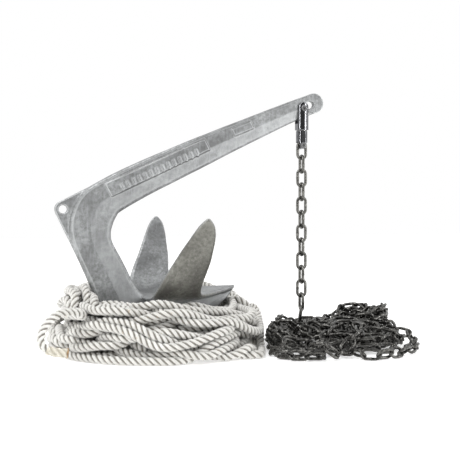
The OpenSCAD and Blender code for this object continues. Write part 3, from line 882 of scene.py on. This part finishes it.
def galvanised_cast_steel():
    """Hot-dip galvanised cast steel, a season old: a dull light grey zinc skin with darker and
    bluer patches, fine mottling, drips of zinc that ran down, small pits, painted highlights on its edges
    and the shank's bevel, and painted shade in its hollows and on the side flukes' outer faces."""
    made, tree, shader = material("hot_dip_galvanised_cast_steel", "#a3a5a7", 0.7, 0.5)
    place = node(tree, "ShaderNodeTexCoord").outputs["Object"]
    clouds = node(tree, "ShaderNodeTexNoise", {
        "Vector": place, "Scale": 1 / (55 * MM), "Detail": 5.0, "Roughness": 0.62,
    })
    patchy = node(tree, "ShaderNodeMapRange", {
        "Value": clouds.outputs["Fac"], "From Min": 0.36, "From Max": 0.64,
    })
    zinc = node(tree, "ShaderNodeMixRGB", {
        "Fac": patchy.outputs["Result"], "Color1": paint("#797a7b"), "Color2": paint("#a2a4a5"),
    })
    mottle = node(tree, "ShaderNodeTexNoise", {
        "Vector": place, "Scale": 1 / (7 * MM), "Detail": 5.0, "Roughness": 0.65,
    })
    mottled = node(tree, "ShaderNodeMapRange", {
        "Value": mottle.outputs["Fac"], "From Min": 0.42, "From Max": 0.68, "To Min": 0.0, "To Max": 0.75,
    })
    grey = node(tree, "ShaderNodeMixRGB", {
        "Fac": mottled.outputs["Result"], "Color1": zinc.outputs["Color"], "Color2": paint("#6c6d6c"),
    })
    # zinc that ran down as the piece was lifted from the bath: streaks 4 mm wide and 60 mm long
    hung = node(tree, "ShaderNodeMapping", {
        "Vector": place, "Scale": (1 / (4 * MM), 1 / (4 * MM), 1 / (60 * MM)),
    })
    drips = node(tree, "ShaderNodeTexNoise", {
        "Vector": hung.outputs["Vector"], "Scale": 1.0, "Detail": 2.0,
    })
    run = node(tree, "ShaderNodeMapRange", {
        "Value": drips.outputs["Fac"], "From Min": 0.54, "From Max": 0.8, "To Min": 0.0, "To Max": 0.3,
    })
    streaked = node(tree, "ShaderNodeMixRGB", {
        "Fac": run.outputs["Result"], "Color1": grey.outputs["Color"], "Color2": paint("#c5c8ca"),
    })
    grit = node(tree, "ShaderNodeTexNoise", {"Vector": place, "Scale": 1 / (2.2 * MM), "Detail": 2.0})
    pits = node(tree, "ShaderNodeMapRange", {
        "Value": grit.outputs["Fac"], "From Min": 0.66, "From Max": 0.76, "To Min": 0.0, "To Max": 0.7,
    })
    pitted = node(tree, "ShaderNodeMixRGB", {
        "Fac": pits.outputs["Result"], "Color1": streaked.outputs["Color"], "Color2": paint("#55544f"),
    })
    # painted highlight: faces that turn a little from the flat sides, as the shank's bevelled inner half
    # does, are lightened; its flat outer half keeps the darker tone
    surface = node(tree, "ShaderNodeNewGeometry")
    faces = node(tree, "ShaderNodeSeparateXYZ", {0: surface.outputs["Normal"]})
    flat = node(tree, "ShaderNodeMath", {0: faces.outputs["Y"]}, operation="ABSOLUTE")
    bevelled = node(tree, "ShaderNodeMapRange", {
        "Value": flat.outputs[0], "From Min": 0.9975, "From Max": 0.990, "To Min": 0.0, "To Max": 0.5,
    })
    on_shank = node(tree, "ShaderNodeMapRange", {
        "Value": flat.outputs[0], "From Min": 0.94, "From Max": 0.97,
    })
    both = node(tree, "ShaderNodeMath", {
        0: bevelled.outputs[0], 1: on_shank.outputs[0],
    }, operation="MULTIPLY")
    shank_bevel_painted_highlight = node(tree, "ShaderNodeMixRGB", {
        "Fac": both.outputs[0], "Color1": pitted.outputs["Color"], "Color2": paint("#babcbd"),
    })
    # painted shade: the outer faces of the side flukes are darkened to a warm dark grey
    spots = node(tree, "ShaderNodeSeparateXYZ", {0: place})
    outward = node(tree, "ShaderNodeMath", {
        0: spots.outputs["Y"], 1: faces.outputs["Y"],
    }, operation="MULTIPLY")
    painted_fluke_shade = node(tree, "ShaderNodeMapRange", {
        "Value": outward.outputs[0], "From Min": 0.03, "From Max": 0.06, "To Min": 0.0, "To Max": 0.9,
    })
    with_fluke_shade = node(tree, "ShaderNodeMixRGB", {
        "Fac": painted_fluke_shade.outputs["Result"], "Color1": shank_bevel_painted_highlight.outputs["Color"], "Color2": paint("#c4c0b4"),
    }, blend_type="MULTIPLY")
    bend = surface.outputs["Pointiness"]
    # painted highlight: sharp edges, found by pointiness, are lightened
    edge = node(tree, "ShaderNodeMapRange", {
        "Value": bend, "From Min": 0.515, "From Max": 0.55, "To Min": 0.0, "To Max": 0.45,
    })
    wear_and_painted_highlight = node(tree, "ShaderNodeMixRGB", {
        "Fac": edge.outputs["Result"], "Color1": with_fluke_shade.outputs["Color"], "Color2": paint("#d3d5d6"),
    })
    # painted shade: the hollows, found by pointiness, are darkened
    hollow = node(tree, "ShaderNodeMapRange", {
        "Value": bend, "From Min": 0.45, "From Max": 0.492, "To Min": 0.75, "To Max": 0.0,
    })
    hollows_painted_shade = node(tree, "ShaderNodeMixRGB", {
        "Fac": hollow.outputs["Result"], "Color1": wear_and_painted_highlight.outputs["Color"], "Color2": paint("#504f4c"),
    })
    tree.links.new(hollows_painted_shade.outputs["Color"], shader.inputs["Base Color"])
    dull = node(tree, "ShaderNodeMapRange", {
        "Value": mottle.outputs["Fac"], "To Min": 0.36, "To Max": 0.62,
    })
    tree.links.new(dull.outputs["Result"], shader.inputs["Roughness"])
    lumpy = node(tree, "ShaderNodeBump", {
        "Height": mottle.outputs["Fac"], "Strength": 0.5, "Distance": 1.2 * MM,
    })
    sandy = node(tree, "ShaderNodeBump", {
        "Height": grit.outputs["Fac"], "Strength": 0.35, "Distance": 0.5 * MM,
        "Normal": lumpy.outputs["Normal"],
    })
    tree.links.new(sandy.outputs["Normal"], shader.inputs["Normal"])
    return made


casting.data.materials.append(galvanised_cast_steel())
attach(casting, "anchor")
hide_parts("anchor_casting")

# ---- The swivel's two jaws
# Each is machined from round stainless bar, milled to a fork and polished. Polishing rounds the
# corners by half a millimetre, and the bright steel mirrors the dark side of the room.
JAW_VOXEL = 0.55 * MM
JAW_SMOOTHING = 5


def polished_stainless(name, colour, roughness, scratch):
    """Polished stainless steel that has been handled: nearly a mirror, dark where it mirrors dark
    things, with hair-fine scratches round the bar, one each scratch metres, and dull fingermarks."""
    made, tree, shader = material(name, colour, 1.0, roughness)
    place = node(tree, "ShaderNodeTexCoord").outputs["Object"]
    lathe = node(tree, "ShaderNodeMapping", {
        "Vector": place, "Scale": (1 / (9 * MM), 1 / (9 * MM), 1 / scratch),
    })
    hairs = node(tree, "ShaderNodeTexNoise", {
        "Vector": lathe.outputs["Vector"], "Scale": 1.0, "Detail": 3.0,
    })
    smears = node(tree, "ShaderNodeTexNoise", {"Vector": place, "Scale": 1 / (6 * MM), "Detail": 3.0})
    tone = node(tree, "ShaderNodeMixRGB", {
        "Fac": smears.outputs["Fac"], "Color1": paint(colour), "Color2": paint("#4c4c4f"),
    })
    tree.links.new(tone.outputs["Color"], shader.inputs["Base Color"])
    dull = node(tree, "ShaderNodeMapRange", {
        "Value": smears.outputs["Fac"], "From Min": 0.3, "From Max": 0.75,
        "To Min": roughness * 0.7, "To Max": roughness * 1.8,
    })
    tree.links.new(dull.outputs["Result"], shader.inputs["Roughness"])
    fine = node(tree, "ShaderNodeBump", {
        "Height": hairs.outputs["Fac"], "Strength": 0.12, "Distance": 0.1 * MM,
    })
    tree.links.new(fine.outputs["Normal"], shader.inputs["Normal"])
    return made


jaw_steel = polished_stainless("polished_stainless_bar", "#96979a", 0.12, 0.5 * MM)
for cad_node, name, body in (
    ("upper_jaw", "polished_upper_jaw", "swivel_upper"),
    ("lower_jaw", "polished_lower_jaw", "swivel_lower"),
):
    jaw = softened(cad_node, name, JAW_VOXEL, JAW_SMOOTHING)
    jaw.data.materials.append(jaw_steel)
    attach(jaw, body)
    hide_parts(cad_node)

# ---- The swivel's pins, bolt and washer
# Turned from stainless bar, with hexagon sockets broached in their heads. The pins are pushed in
# from the front, and the bolt's head turns on a ledge in the upper jaw.
pin_steel = polished_stainless("turned_stainless_pin", "#a9a9a8", 0.28, 0.35 * MM)
for cad_node in ("shank_pin", "chain_pin", "swivel_bolt", "thrust_washer"):
    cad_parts[cad_node].data.materials.clear()
    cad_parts[cad_node].data.materials.append(pin_steel)

# ---- The grub screws
# Two small hardened screws, blackened in hot oxide salts, that keep the pins in: dark, with a
# faint satin shine and paler steel where the key has rubbed.
screw_steel, tree, shader = material("black_oxide_screw_steel", "#2a2a2c", 0.9, 0.45)
rub = node(tree, "ShaderNodeTexNoise", {
    "Vector": node(tree, "ShaderNodeTexCoord").outputs["Object"], "Scale": 1 / (0.8 * MM), "Detail": 3.0,
})
wear_and_painted_highlight = node(tree, "ShaderNodeMapRange", {"Value": rub.outputs["Fac"], "From Min": 0.5, "From Max": 0.8})
blackened = node(tree, "ShaderNodeMixRGB", {
    "Fac": wear_and_painted_highlight.outputs["Result"], "Color1": paint("#2a2a2c"), "Color2": paint("#6d6d70"),
})
tree.links.new(blackened.outputs["Color"], shader.inputs["Base Color"])
satin = node(tree, "ShaderNodeMapRange", {"Value": rub.outputs["Fac"], "To Min": 0.35, "To Max": 0.55})
tree.links.new(satin.outputs["Result"], shader.inputs["Roughness"])
pocked = node(tree, "ShaderNodeBump", {
    "Height": rub.outputs["Fac"], "Strength": 0.3, "Distance": 0.08 * MM,
})
tree.links.new(pocked.outputs["Normal"], shader.inputs["Normal"])
for cad_node in ("upper_grub_screw", "lower_grub_screw"):
    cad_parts[cad_node].data.materials.clear()
    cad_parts[cad_node].data.materials.append(screw_steel)
